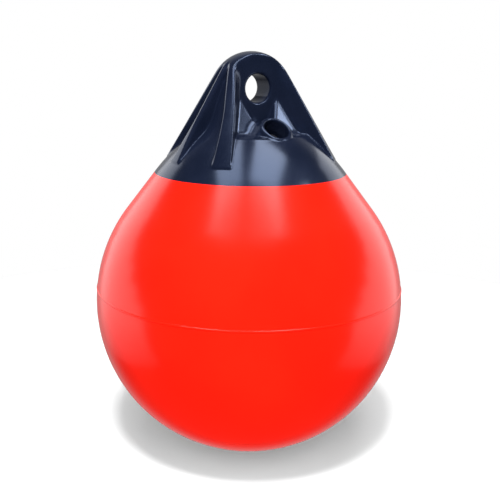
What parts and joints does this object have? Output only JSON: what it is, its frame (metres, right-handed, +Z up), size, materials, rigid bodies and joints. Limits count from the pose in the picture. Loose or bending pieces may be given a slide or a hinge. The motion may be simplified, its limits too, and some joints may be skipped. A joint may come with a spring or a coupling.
{
  "type": "inflatable mooring buoy",
  "caption": "Red inflatable ball buoy running up into a cone, with a ribbed navy rope-hold on top that carries a rope eye and a screw-plugged inflation valve.",
  "frame": {"origin": "centre of the ball, on its axis, at the water's surface when the buoy is half under", "axes": "+Z up along the buoy's axis towards the eye, Y along the eye's bore with the valve on the -Y side"},
  "size_m": [0.21, 0.21, 0.2724],
  "materials": {
    "red_vinyl": "satin gloss",
    "navy_vinyl": "satin gloss",
    "black_insert": "moulded matt",
    "seal_rubber": "matt",
    "black_plug": "moulded satin"
  },
  "bodies": {
    "buoy": {"float_body": "red_vinyl", "rope_hold": "navy_vinyl", "valve_sleeve": "black_insert"},
    "seal": {"plug_seal": "seal_rubber"},
    "plug": {"valve_plug": "black_plug"}
  },
  "joints": [
    {"name": "plug_draw", "type": "slide", "parent": "buoy", "child": "seal", "axis": [0, -0.6157, 0.788], "range_m": [0, 0.009]},
    {"name": "plug_turn", "type": "hinge", "parent": "seal", "child": "plug", "pos_m": [0, -0.032, 0.12], "axis": [0, -0.6157, 0.788], "range_deg": [0, 1080]}
  ],
  "couplings": [
    {"joint": "plug_turn", "follows": "plug_draw", "rad_per_m": 2094.4}
  ]
}
